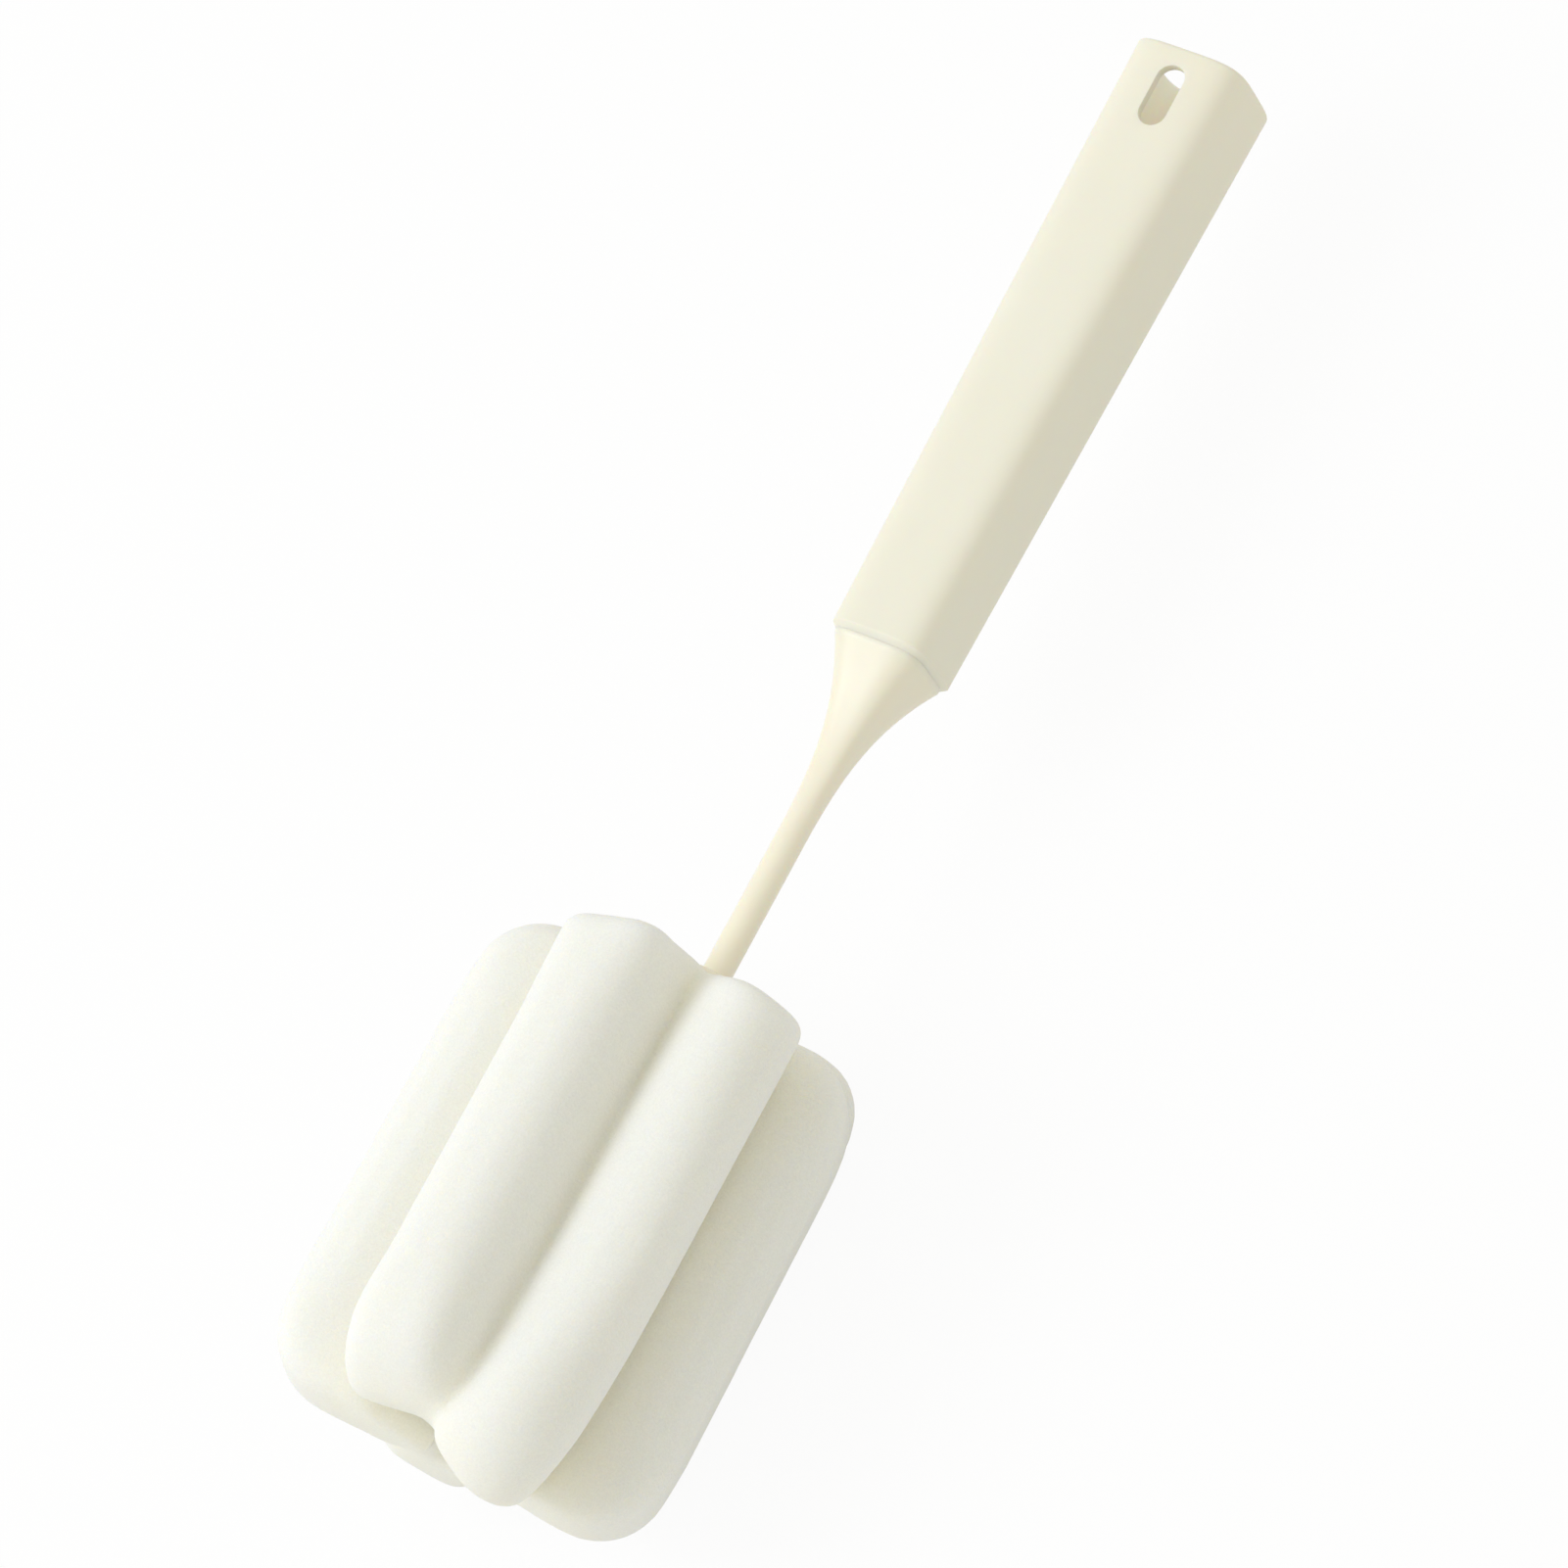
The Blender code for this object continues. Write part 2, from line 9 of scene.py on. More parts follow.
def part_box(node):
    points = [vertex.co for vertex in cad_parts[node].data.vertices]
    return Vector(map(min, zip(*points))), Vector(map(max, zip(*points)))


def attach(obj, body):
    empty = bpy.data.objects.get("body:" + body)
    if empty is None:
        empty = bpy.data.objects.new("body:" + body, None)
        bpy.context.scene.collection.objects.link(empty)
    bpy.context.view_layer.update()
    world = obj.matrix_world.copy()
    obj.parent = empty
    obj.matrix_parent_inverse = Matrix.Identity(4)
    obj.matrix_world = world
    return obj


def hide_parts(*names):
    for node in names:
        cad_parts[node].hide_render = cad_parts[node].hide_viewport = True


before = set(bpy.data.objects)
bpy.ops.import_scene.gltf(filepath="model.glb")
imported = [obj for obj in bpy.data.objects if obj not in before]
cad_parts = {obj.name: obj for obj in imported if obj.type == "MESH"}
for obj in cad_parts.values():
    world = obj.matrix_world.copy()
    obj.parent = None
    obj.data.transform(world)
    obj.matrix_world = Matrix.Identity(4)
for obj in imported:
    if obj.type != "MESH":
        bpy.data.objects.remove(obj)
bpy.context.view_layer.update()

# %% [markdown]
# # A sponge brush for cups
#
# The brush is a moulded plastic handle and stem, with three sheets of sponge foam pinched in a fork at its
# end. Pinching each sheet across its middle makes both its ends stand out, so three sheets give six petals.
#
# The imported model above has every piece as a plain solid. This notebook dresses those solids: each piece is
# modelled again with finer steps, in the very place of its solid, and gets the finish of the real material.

# %% [markdown]
# ## Two ways to look at the brush
#
# The model lies along X with its slot upwards. A brush is easier to model upright, with z up the handle, the
# slot towards the viewer at -y, and every ring of the handle level. So each piece is drawn upright, and one
# matrix lays its mesh down at the end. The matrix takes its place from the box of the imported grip.

# %% The matrix that lays an upright mesh down
GRIP_TOP = 0.308915
grip_low, grip_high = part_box("handle_sleeve")
axis_point = Vector((grip_high.x - GRIP_TOP, (grip_low.y + grip_high.y) / 2, (grip_low.z + grip_high.z) / 2))
LAID = Matrix.Translation(axis_point) @ Matrix(((0, 0, 1), (-1, 0, 0), (0, -1, 0))).to_4x4()
UPRIGHT = LAID.inverted()
print("the stem's axis runs at y and z, mm:", [round(axis_point[side] * 1000, 2) for side in (1, 2)])


# %% A helper that turns a drawn mesh into a piece
def piece_from(name, bm, body):
    """Lays the upright mesh down, and makes a piece of it that rides on a body."""
    bmesh.ops.transform(bm, matrix=LAID, verts=bm.verts)
    mesh = bpy.data.meshes.new(name)
    bm.to_mesh(mesh)
    bm.free()
    made = bpy.data.objects.new(name, mesh)
    bpy.context.scene.collection.objects.link(made)
    mesh.shade_smooth()
    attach(made, body)
    size = [round(side * 1000, 1) for side in made.dimensions]
    print(name, "has", len(mesh.polygons), "faces, mm", size)
    return made


# %% [markdown]
# ## Materials
#
# A cream plastic and a white foam look alike in colour. What tells them apart is the surface: the grip has a
# fine moulded texture, the stem is smooth, and the foam is full of cut cells. All three are made of nodes
# that read Object coordinates, which are metres here, so a pattern's scale is one over its real size.

# %% Colours and nodes
def linear(code):
    """An sRGB hex colour as the linear one that shaders use."""
    parts = [int(code[place : place + 2], 16) / 255 for place in (1, 3, 5)]
    return (*[part / 12.92 if part <= 0.04045 else ((part + 0.055) / 1.055) ** 2.4 for part in parts], 1)


def add_node(tree, kind, inputs, **settings):
    """Adds one node, with plain values or links for its sockets."""
    made = tree.nodes.new("ShaderNode" + kind)
    for name, value in settings.items():
        setattr(made, name, value)
    for socket, value in inputs.items():
        if isinstance(value, bpy.types.NodeSocket):
            tree.links.new(value, made.inputs[socket])
        else:
            made.inputs[socket].default_value = value
    return made


def new_material(name):
    """An empty node material, and its tree."""
    made = bpy.data.materials.new(name)
    made.use_nodes = True
    made.node_tree.nodes.clear()
    return made, made.node_tree


# %% [markdown]
# ### Grip: polypropylene, injection moulded in a spark-eroded mould
#
# Such a mould leaves a dull, slightly grainy skin with grains of about 0.1 mm. They are drawn at 0.35 mm,
# because finer ones would fall between the pixels. Handling polishes some places a little more than others,
# which the slow second noise gives through the roughness.
#
# Polypropylene lets some light through. A wall of 2 mm hides that from outside, but seen through the slot the
# inside of the grip glows softly with the light that falls on its outer faces. So the inner wall scatters all
# its light below the skin, and its paler tones are painted light for that glow. A function makes the material
# for both.

# %% The grip's plastic
GRAIN_WIDTH = 0.00035
GRAIN_DEPTH = 0.00005
WORN_PATCH = 0.03
PLASTIC_IOR = 1.49
COLOUR_SPREAD = (1.0, 0.65, 0.3)


def matt_plastic(name, tones, scattered, depth):
    """The moulded plastic in two tones, with a share of its light scattered at a depth below the skin."""
    made, tree = new_material(name)
    place = add_node(tree, "TexCoord", {}).outputs["Object"]
    grains = {"Vector": place, "Scale": 1 / GRAIN_WIDTH, "Detail": 2.0, "Roughness": 0.6}
    grain = add_node(tree, "TexNoise", grains)
    patches = {"Vector": place, "Scale": 1 / WORN_PATCH, "Detail": 2.0}
    worn = add_node(tree, "TexNoise", patches).outputs["Fac"]
    polish = {"Value": worn, "From Min": 0.3, "From Max": 0.7, "To Min": 0.46, "To Max": 0.56}
    rough = add_node(tree, "MapRange", polish)
    colours = {"Factor": worn, "A": linear(tones[0]), "B": linear(tones[1])}
    tone = add_node(tree, "Mix", colours, data_type="RGBA")
    skin = add_node(tree, "Bump", {"Height": grain.outputs["Fac"], "Strength": 0.25, "Distance": GRAIN_DEPTH})
    surface = add_node(
        tree,
        "BsdfPrincipled",
        {
            "Base Color": tone.outputs["Result"],
            "Roughness": rough.outputs["Result"],
            "IOR": PLASTIC_IOR,
            "Subsurface Weight": scattered,
            "Subsurface Radius": COLOUR_SPREAD,
            "Subsurface Scale": depth,
            "Normal": skin.outputs["Normal"],
        },
    )
    add_node(tree, "OutputMaterial", {"Surface": surface.outputs["BSDF"]})
    return made


OUTER_TONES = ("#F5F0DF", "#F8F4E5")
# the inner wall's paler tones are painted light, standing in for the light that comes through the wall
PAINTED_LIGHT_INNER_TONES = ("#FCF9EC", "#FDFAF0")
grip_plastic = matt_plastic("moulded_matt_polypropylene", OUTER_TONES, scattered=0.3, depth=0.003)
inner_plastic_painted_light = matt_plastic("polypropylene_inner_wall_painted_light", PAINTED_LIGHT_INNER_TONES, scattered=1.0, depth=0.008)

# %% [markdown]
# ### Stem: polypropylene from a polished mould
#
# The same plastic, but the steel was polished, so the skin is smooth and shines softly. Only the slow waves
# of the plastic's shrinking are left, a few millimetres long and hardly deep.

# %% The stem's plastic
WAVE_LENGTH = 0.006
WAVE_DEPTH = 0.0002

stem_plastic, tree = new_material("moulded_satin_polypropylene")
place = add_node(tree, "TexCoord", {}).outputs["Object"]
waves = add_node(tree, "TexNoise", {"Vector": place, "Scale": 1 / WAVE_LENGTH, "Detail": 1.0}).outputs["Fac"]
colours = {"Factor": waves, "A": linear("#F6F0DC"), "B": linear("#F8F3E2")}
tone = add_node(tree, "Mix", colours, data_type="RGBA")
polish = {"Value": waves, "From Min": 0.3, "From Max": 0.7, "To Min": 0.33, "To Max": 0.40}
rough = add_node(tree, "MapRange", polish)
skin = add_node(tree, "Bump", {"Height": waves, "Strength": 0.12, "Distance": WAVE_DEPTH})
surface = add_node(
    tree,
    "BsdfPrincipled",
    {
        "Base Color": tone.outputs["Result"],
        "Roughness": rough.outputs["Result"],
        "IOR": PLASTIC_IOR,
        "Subsurface Weight": 0.3,
        "Subsurface Radius": COLOUR_SPREAD,
        "Subsurface Scale": 0.003,
        "Normal": skin.outputs["Normal"],
    },
)
add_node(tree, "OutputMaterial", {"Surface": surface.outputs["BSDF"]})

# %% [markdown]
# ### Petals: white polyurethane sponge foam
#
# The sheets are cut from a block, so the skin is a cut through thousands of cells of about 0.3 mm. They are
# drawn at 0.45 mm, because finer ones would not show, with a few wider pores. The open cells hold a little
# shade, so they also speckle the colour.
#
# Light wanders in the foam and turns warmer in the clefts, where it is handed from petal to petal. This warm
# shade is painted into the colour, from white at the petals' ends to ivory near the stem, by the reach from
# the stem's axis.

# %% The foam's skin, and its speckle
CELL_WIDTH = 0.00045
CELL_DEPTH = 0.0003
PORE_SPACING = 0.0016

foam_white, tree = new_material("open_cell_polyurethane_foam")
place = add_node(tree, "TexCoord", {}).outputs["Object"]
grains = {"Vector": place, "Scale": 1 / CELL_WIDTH, "Detail": 3.0, "Roughness": 0.65}
cells = add_node(tree, "TexNoise", grains).outputs["Fac"]
pores = add_node(tree, "TexVoronoi", {"Vector": place, "Scale": 1 / PORE_SPACING})
deep = add_node(tree, "MapRange", {"Value": pores.outputs["Distance"], "From Min": 0.0, "From Max": 0.3})
heights = add_node(tree, "Math", {0: cells, 1: deep.outputs["Result"]}, operation="MULTIPLY")
skin = add_node(tree, "Bump", {"Height": heights.outputs["Value"], "Strength": 0.55, "Distance": CELL_DEPTH})
shade = {"Value": cells, "From Min": 0.35, "From Max": 0.65, "To Min": 0.95, "To Max": 1.0}
speckle = add_node(tree, "MapRange", shade)

# %% The foam's colour, with painted warm shade from ivory near the stem to white
WARM_SHADE_WITHIN = 0.02
WARM_SHADE_GONE_BEYOND = 0.036

from_axis = add_node(tree, "VectorMath", {0: place, 1: axis_point}, operation="SUBTRACT")
level = add_node(tree, "VectorMath", {0: from_axis.outputs["Vector"], 1: (0, 1, 1)}, operation="MULTIPLY")
reach = add_node(tree, "VectorMath", {0: level.outputs["Vector"]}, operation="LENGTH")
span = {"Value": reach.outputs["Value"], "From Min": WARM_SHADE_WITHIN, "From Max": WARM_SHADE_GONE_BEYOND}
ends = add_node(tree, "MapRange", span, interpolation_type="SMOOTHSTEP")
# painted warm shade: ivory near the stem's axis, where the petals meet, and white at the petals' ends
colours = {"Factor": ends.outputs["Result"], "A": linear("#FFFBED"), "B": linear("#F5F6F1")}
tone = add_node(tree, "Mix", colours, data_type="RGBA")
shaded = {0: tone.outputs["Result"], "Scale": speckle.outputs["Result"]}
speckled = add_node(tree, "VectorMath", shaded, operation="SCALE")
surface = add_node(
    tree,
    "BsdfPrincipled",
    {
        "Base Color": speckled.outputs["Vector"],
        "Roughness": 0.95,
        "Specular IOR Level": 0.15,
        "Subsurface Weight": 0.9,
        "Subsurface Radius": (1.0, 0.9, 0.7),
        "Subsurface Scale": 0.008,
        "Sheen Weight": 0.1,
        "Normal": skin.outputs["Normal"],
    },
)
add_node(tree, "OutputMaterial", {"Surface": surface.outputs["BSDF"]})


# %% [markdown]
# ## The grip
#
# The real grip is a hollow moulding: a square with full, round corners, which widens a little towards its
# open top. It could be a cube with bevelled edges, but its sides aren't quite flat either. A superellipse
# gives both at once: a circle's formula with a higher power.
#
# One ring of points is drawn as a circle and moved onto that square. Then it is extruded again and again: up
# the outside, over the rim and down the inside. The last ring meets the first, and merging the two closes the
# wall. The rim is rounded, and the foot has a chamfer that leads down to the neck.

# %% Rings of a rounded square
SECTION_POWER = 4.4


def rounded_square(turn, half, power):
    """The point of a rounded square at a turn from x. Power 2 is a circle."""
    across = math.cos(turn)
    along = math.sin(turn)
    reach = half / (abs(across) ** power + abs(along) ** power) ** (1 / power)
    return reach * across, reach * along


def draw_rings(stations, sides):
    """Extrudes one ring through all stations, each a height, half width and power."""
    bm = bmesh.new()
    ring = bmesh.ops.create_circle(bm, segments=sides, radius=1)["verts"]
    edges = bm.edges[:]
    for step, (height, half, power) in enumerate(stations):
        if step:
            grown = bmesh.ops.extrude_edge_only(bm, edges=edges)["geom"]
            ring = [item for item in grown if isinstance(item, bmesh.types.BMVert)]
            fresh = set(ring)
            grown_edges = [item for item in grown if isinstance(item, bmesh.types.BMEdge)]
            edges = [edge for edge in grown_edges if fresh.issuperset(edge.verts)]
        for vert in ring:
            turn = math.atan2(vert.co.y, vert.co.x)
            vert.co = (*rounded_square(turn, half, power), height)
    return bm


# %% The edges of the grip
GRIP_FOOT = 0.176615
GRIP_HALF_FOOT = 0.01095
GRIP_HALF_TOP = 0.01245
GRIP_WALL = 0.002
GRIP_RIM = 0.0008
RIM_STEPS = 5
FOOT_CHAMFER = 0.0011
GRIP_SIDES = 160
MERGED_WITHIN = 0.00001


def grip_half(height):
    """Half the grip's width at a height."""
    share = (height - GRIP_FOOT) / (GRIP_TOP - GRIP_FOOT)
    return GRIP_HALF_FOOT + (GRIP_HALF_TOP - GRIP_HALF_FOOT) * share


def rim_quarter(end, upward, outward):
    """Stations of a rounded edge, from the wall's side to the end face."""
    side = grip_half(end) - (0 if outward > 0 else GRIP_WALL)
    found = []
    for step in range(RIM_STEPS + 1):
        turn = math.pi / 2 * step / RIM_STEPS
        height = end - upward * GRIP_RIM * (1 - math.sin(turn))
        found.append((height, side - outward * GRIP_RIM * (1 - math.cos(turn)), SECTION_POWER))
    return found


def foot_chamfer():
    """Stations of the chamfer, with rings close to its two edges to keep them crisp."""
    side = grip_half(GRIP_FOOT)
    found = []
    for share in (0, 0.08, 0.92, 1):
        rise = FOOT_CHAMFER * share
        found.append((GRIP_FOOT + rise, side - FOOT_CHAMFER + rise, SECTION_POWER))
    found.append((GRIP_FOOT + 1.3 * FOOT_CHAMFER, side, SECTION_POWER))
    return found


# %% The rings of the grip, and its wall
RINGS_FROM_TOP = (0.1, 0.07, 0.04, 0.0185, 0.0028)


def wall_rings(inset):
    """Rings between the two ends, two of them close round the slot."""
    heights = [GRIP_TOP - drop for drop in RINGS_FROM_TOP]
    return [(height, grip_half(height) - inset, SECTION_POWER) for height in heights]


loop = foot_chamfer()
loop += wall_rings(0)
loop += rim_quarter(GRIP_TOP, 1, 1)
loop += rim_quarter(GRIP_TOP, 1, -1)[::-1]
loop += wall_rings(GRIP_WALL)[::-1]
loop += rim_quarter(GRIP_FOOT, -1, -1)
loop.append(loop[0])
bm = draw_rings(loop, GRIP_SIDES)
bmesh.ops.remove_doubles(bm, verts=bm.verts, dist=MERGED_WITHIN)
bmesh.ops.recalc_face_normals(bm, faces=bm.faces)
grip = piece_from("grip", bm, "brush")

# %% [markdown]
# ### The hanging slot
#
# The slot is a milled-looking stadium through both walls. A circle whose upper half is moved up is a stadium,
# and pushed through the grip it is the cutter of a Boolean. The Bevel behind it breaks the sharp lip, as the
# mould does.

# %% Cutting the slot
SLOT_HALF = 0.003
SLOT_LENGTH = 0.0133
SLOT_TO_TOP = 0.004
SLOT_SIDES = 64
LIP_WIDTH = 0.0004
LIP_ANGLE = 50

bm = bmesh.new()
bmesh.ops.create_circle(bm, cap_ends=True, segments=SLOT_SIDES, radius=SLOT_HALF)
upper = [vert for vert in bm.verts if vert.co.y > 0]
bmesh.ops.translate(bm, vec=(0, SLOT_LENGTH - 2 * SLOT_HALF, 0), verts=upper)
bmesh.ops.rotate(bm, matrix=Matrix.Rotation(math.pi / 2, 3, "X"), verts=bm.verts)
foot = GRIP_TOP - SLOT_TO_TOP - SLOT_LENGTH + SLOT_HALF
bmesh.ops.translate(bm, vec=(0, -2 * GRIP_HALF_TOP, foot), verts=bm.verts)
grown = bmesh.ops.extrude_face_region(bm, geom=bm.faces[:])["geom"]
through = [item for item in grown if isinstance(item, bmesh.types.BMVert)]
bmesh.ops.translate(bm, vec=(0, 4 * GRIP_HALF_TOP, 0), verts=through)
bmesh.ops.recalc_face_normals(bm, faces=bm.faces)
slot_cutter = piece_from("slot_cutter", bm, "brush")

cut = grip.modifiers.new("slot", "BOOLEAN")
cut.object = slot_cutter
cut.solver = "EXACT"
lip = grip.modifiers.new("lip", "BEVEL")
lip.width = LIP_WIDTH
lip.segments = 3
lip.limit_method = "ANGLE"
lip.angle_limit = math.radians(LIP_ANGLE)


# %% Applying the cut, and the two plastics of the grip
def apply_modifiers(piece):
    """Makes what the modifiers show the piece's own mesh."""
    drawn = piece.evaluated_get(bpy.context.evaluated_depsgraph_get())
    piece.data = bpy.data.meshes.new_from_object(drawn)
    piece.modifiers.clear()


apply_modifiers(grip)
bpy.data.objects.remove(slot_cutter)
grip.data.shade_smooth()
grip.data.materials.append(grip_plastic)
grip.data.materials.append(inner_plastic_painted_light)
# the faces inside the wall get the paler plastic, whose tones are painted light
for face in grip.data.polygons:
    place = UPRIGHT @ face.center
    reach = (abs(place.x) ** SECTION_POWER + abs(place.y) ** SECTION_POWER) ** (1 / SECTION_POWER)
    if reach < grip_half(place.z) - GRIP_WALL * 0.75 and place.z > GRIP_FOOT + GRIP_WALL:
        face.material_index = 1
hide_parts("handle_sleeve")
print("the grip has", len(grip.data.polygons), "faces with its slot")

# %% [markdown]
# ## The stem
#
# Below the grip one smooth moulding runs from a square neck down into a thin round rod, and ends in a fork
# inside the foam. The same ring tool draws it: while the width falls, the power falls too, from the square's
# 4.4 to the circle's 2, so that the corners melt away on the way down. The neck's upright rim enters the
# grip's foot a little, so that no gap shows at the joint.

# %% Neck, flare and rod
NECK_HALF = 0.00985
PLUG_HALF = 0.00865
PLUG_LENGTH = 0.022
FLARE_FOOT = 0.140015
FLARE_TOP = 0.176315
ROD_RADIUS = 0.00295
YOKE_FOOT = 0.102815
YOKE_TOP = 0.105315
PLUG_CHAMFER = 0.001
NECK_RIM = 0.0003
FLARE_POWER = 2.5
FLARE_STEPS = 48
CIRCLE_POWER = 2
STEM_SIDES = 96

stations = [
    (FLARE_TOP + PLUG_LENGTH, PLUG_HALF - PLUG_CHAMFER, SECTION_POWER),
    (FLARE_TOP + PLUG_LENGTH - PLUG_CHAMFER, PLUG_HALF, SECTION_POWER),
    (GRIP_FOOT + NECK_RIM, PLUG_HALF, SECTION_POWER),
    (GRIP_FOOT + NECK_RIM, NECK_HALF, SECTION_POWER),
]
for step in range(FLARE_STEPS + 1):
    rise = 1 - step / FLARE_STEPS
    height = FLARE_FOOT + (FLARE_TOP - NECK_RIM - FLARE_FOOT) * rise
    half = ROD_RADIUS + (NECK_HALF - ROD_RADIUS) * rise**FLARE_POWER
    stations.append((height, half, CIRCLE_POWER + (SECTION_POWER - CIRCLE_POWER) * rise))
stations.append(((YOKE_FOOT + YOKE_TOP) / 2, ROD_RADIUS, CIRCLE_POWER))
bm = draw_rings(stations, STEM_SIDES)
bmesh.ops.holes_fill(bm, edges=bm.edges, sides=STEM_SIDES)
bmesh.ops.recalc_face_normals(bm, faces=bm.faces)
stem = piece_from("stem", bm, "brush")

# %% The fork, a block with a gap from below
CLAMP_TURN = Matrix.Rotation(math.radians(18), 4, "Z")
TINE_HALF = 0.003
TINE_FOOT = 0.0067
GAP_HALF = 0.0042
FORK_HALF = 0.0077
FORK_EDGE = 0.001
GAP_OVERRUN = 0.01
CRISP_ANGLE = 40


def draw_block(low, high, edge):
    """A box between two corners, with all its edges rounded unless edge is 0."""
    low = Vector(low)
    high = Vector(high)
    bm = bmesh.new()
    place = Matrix.Translation((low + high) / 2) @ Matrix.Diagonal((*(high - low), 1))
    bmesh.ops.create_cube(bm, size=1, matrix=place)
    if edge:
        shape = {"offset": edge, "segments": 4, "profile": 0.5}
        bmesh.ops.bevel(bm, geom=bm.edges[:], affect="EDGES", material=-1, **shape)
    return bm


block = draw_block((-TINE_HALF, -FORK_HALF, TINE_FOOT), (TINE_HALF, FORK_HALF, YOKE_TOP), FORK_EDGE)
bmesh.ops.transform(block, matrix=CLAMP_TURN, verts=block.verts)
fork = piece_from("fork", block, "brush")
gap = draw_block((-GAP_OVERRUN, -GAP_HALF, TINE_FOOT - GAP_OVERRUN), (GAP_OVERRUN, GAP_HALF, YOKE_FOOT), 0)
bmesh.ops.transform(gap, matrix=CLAMP_TURN, verts=gap.verts)
fork_gap = piece_from("fork_gap", gap, "brush")
for other, operation in ((fork, "UNION"), (fork_gap, "DIFFERENCE")):
    joined = stem.modifiers.new(other.name, "BOOLEAN")
    joined.object = other
    joined.operation = operation
    joined.solver = "EXACT"
apply_modifiers(stem)
bpy.data.objects.remove(fork)
bpy.data.objects.remove(fork_gap)
stem.data.shade_smooth()
stem.data.set_sharp_from_angle(angle=math.radians(CRISP_ANGLE))
stem.data.materials.append(stem_plastic)
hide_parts("neck_stem")
print("the stem has", len(stem.data.polygons), "faces with its fork")

# %% [markdown]
# ## The tip cap
#
# A small cap snaps over the two tines under the foam and holds them together, so that they pinch the sheets.
# It is the same kind of block as the fork, with a socket cut for each tine. It rides on a body of its own,
# because it pulls off.

# %% The cap and its two sockets
CAP_HALF_WIDTH = 0.0045
CAP_HALF_DEPTH = 0.0092
CAP_FOOT = 0.0045
CAP_TOP = 0.0125
CAP_EDGE = 0.0012
CLEARANCE = 0.0003
SOCKET_OVERRUN = 0.004

low = (-CAP_HALF_WIDTH, -CAP_HALF_DEPTH, CAP_FOOT)
high = (CAP_HALF_WIDTH, CAP_HALF_DEPTH, CAP_TOP)
block = draw_block(low, high, CAP_EDGE)
bmesh.ops.transform(block, matrix=CLAMP_TURN, verts=block.verts)
cap = piece_from("cap", block, "cap")
for side in (-1, 1):
    near = side * (GAP_HALF - CLEARANCE)
    far = side * (FORK_HALF + CLEARANCE)
    low = (-TINE_HALF - CLEARANCE, min(near, far), TINE_FOOT - CLEARANCE)
    high = (TINE_HALF + CLEARANCE, max(near, far), CAP_TOP + SOCKET_OVERRUN)
    socket = draw_block(low, high, 0)
    bmesh.ops.transform(socket, matrix=CLAMP_TURN, verts=socket.verts)
    room = piece_from("socket", socket, "cap")
    cut = cap.modifiers.new("socket", "BOOLEAN")
    cut.object = room
    cut.solver = "EXACT"
    apply_modifiers(cap)
    bpy.data.objects.remove(room)
cap.data.shade_smooth()
cap.data.set_sharp_from_angle(angle=math.radians(CRISP_ANGLE))
cap.data.materials.append(stem_plastic)
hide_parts("tip_cap")

# %% [markdown]
# ## The foam sheets
#
# Each sheet is a die-cut rectangle of foam with rounded corners, pinched across its middle, so that its two
# ends stand out as petals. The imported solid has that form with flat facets, which foam hasn't. So the solid
# is copied, a sheet with a cleft is parted into its two petals along it, and each part is remeshed into an
# even net of small squares, which can bend anywhere.
#
# The net is then relaxed: each point moves half way to the middle of its neighbours. Only those neighbours
# count that face much the same way, so that facets melt away and a crisp cut edge stays.
#
# A fork turned by 18 degrees holds the sheets, so their net is drawn in the fork's own frame, where the
# middle sheet runs straight across.

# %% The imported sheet, and its parts
HEADINGS = {"front_left": -27, "front_right": 27.5, "rear_right": 125, "rear_left": 199}
SAME_POINT = 0.000002


def direction(heading):
    """A heading as a unit vector: 0 is the front, and it turns to the right."""
    turn = math.radians(heading)
    return Vector((math.sin(turn), -math.cos(turn), 0))


def sheet_copy(node):
    """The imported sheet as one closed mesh, upright in the fork's frame."""
    bm = bmesh.new()
    bm.from_mesh(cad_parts[node].data)
    bmesh.ops.remove_doubles(bm, verts=bm.verts, dist=SAME_POINT)
    bmesh.ops.transform(bm, matrix=CLAMP_TURN.inverted() @ UPRIGHT, verts=bm.verts)
    return bm


def one_side(bm, point, across):
    """What is left of a mesh on one side of an upright plane, closed again."""
    half = bm.copy()
    geom = half.verts[:] + half.edges[:] + half.faces[:]
    cut = bmesh.ops.bisect_plane(half, geom=geom, plane_co=point, plane_no=across, clear_outer=True)
    edges = [item for item in cut["geom_cut"] if isinstance(item, bmesh.types.BMEdge)]
    bmesh.ops.holes_fill(half, edges=edges, sides=0)
    bmesh.ops.triangulate(half, faces=half.faces[:])
    return half


# %% An even net, and how it is relaxed
VOXEL = 0.001
SAME_WAY = 0.65
NET_RELAXING = 8


def relax(bm, times):
    """Moves each point half way to the middle of the neighbours that face its way."""
    for _ in range(times):
        bm.normal_update()
        moved = []
        for vert in bm.verts:
            near = [edge.other_vert(vert) for edge in vert.link_edges]
            near = [other.co for other in near if other.normal.dot(vert.normal) > SAME_WAY]
            if len(near) > 2:
                moved.append(vert.co.lerp(sum(near, Vector()) / len(near), 0.5))
            else:
                moved.append(vert.co.copy())
        for vert, place in zip(bm.verts, moved):
            vert.co = place


def even_net(bm, name):
    """A remeshed copy with squares about one voxel wide, relaxed until no facet shows."""
    mesh = bpy.data.meshes.new(name)
    bm.to_mesh(mesh)
    made = bpy.data.objects.new(name, mesh)
    bpy.context.scene.collection.objects.link(made)
    net = made.modifiers.new("net", "REMESH")
    net.mode = "VOXEL"
    net.voxel_size = VOXEL
    apply_modifiers(made)
    fine = bmesh.new()
    fine.from_mesh(made.data)
    bpy.data.objects.remove(made)
    relax(fine, NET_RELAXING)
    return fine


